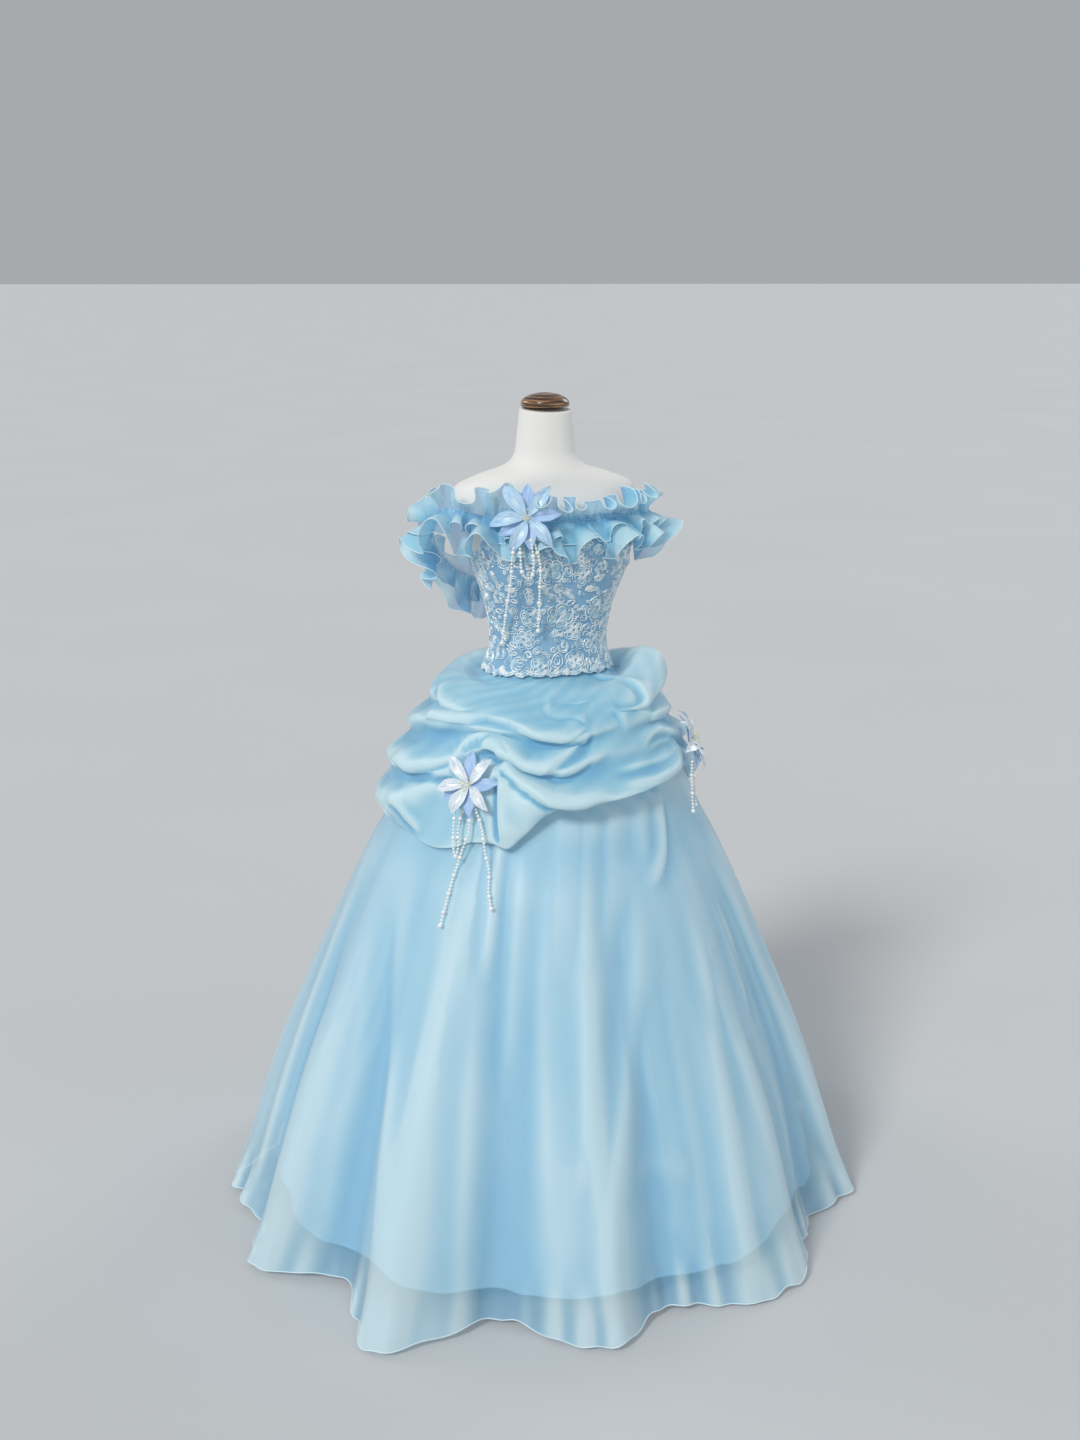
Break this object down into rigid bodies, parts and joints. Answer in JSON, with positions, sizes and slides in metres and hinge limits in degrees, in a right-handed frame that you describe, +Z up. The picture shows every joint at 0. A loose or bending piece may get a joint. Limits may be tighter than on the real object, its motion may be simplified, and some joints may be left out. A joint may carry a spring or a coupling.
{
  "type": "ball gown on dress form",
  "caption": "Off-shoulder organza ball gown with ruffles, raised lace bodice, picked-up overskirt, fabric lilies and pearl strands, on a limbless dress form with a round stand.",
  "frame": {"origin": "centre of the underside of the dress form's round stand", "axes": "+Z up, -Y towards the front of the gown, +X towards the gown's left side"},
  "size_m": [1.3678, 1.3423, 1.687],
  "materials": {
    "form_linen": "smooth off-white jersey cover",
    "dark_wood": "dark turned walnut, lacquered",
    "stand_metal": "satin dark grey paint",
    "lace_over_satin": "silvery corded lace and sequins over light-blue satin",
    "zip_tape_blue": "woven tape",
    "ruffle_organza": "sheer crisp organza",
    "skirt_organza": "sheer crisp organza",
    "lining_satin": "soft satin",
    "lily_silver_blue": "glittered silvery fabric petals",
    "lily_periwinkle": "matt fabric petals",
    "pearl_cream": "pearl lustre"
  },
  "bodies": {
    "root": {"form_torso": "form_linen", "form_neck_cap": "dark_wood", "form_pole": "stand_metal", "form_base": "stand_metal", "bodice_front": "lace_over_satin", "bodice_back_left": "lace_over_satin", "bodice_back_right": "lace_over_satin", "zip_tape": "zip_tape_blue", "zip_slider": "zip_tape_blue", "ruffle_upper_front": "ruffle_organza", "ruffle_upper_sleeve_left": "ruffle_organza", "ruffle_upper_back": "ruffle_organza", "ruffle_upper_sleeve_right": "ruffle_organza", "ruffle_under_front": "ruffle_organza", "ruffle_under_sleeve_left": "ruffle_organza", "ruffle_under_back": "ruffle_organza", "ruffle_under_sleeve_right": "ruffle_organza", "lining_front": "lining_satin", "lining_back": "lining_satin", "skirt_front": "skirt_organza", "skirt_back": "skirt_organza", "drape_front": "skirt_organza", "drape_back": "skirt_organza", "lily_chest": "lily_silver_blue", "lily_chest_back": "lily_periwinkle", "lily_hip_right": "lily_silver_blue", "lily_hip_right_back": "lily_periwinkle", "lily_hip_left": "lily_silver_blue", "lily_hip_left_back": "lily_periwinkle", "pearls_chest": "pearl_cream", "pearls_hip_right": "pearl_cream", "pearls_hip_left": "pearl_cream"}
  },
  "joints": []
}
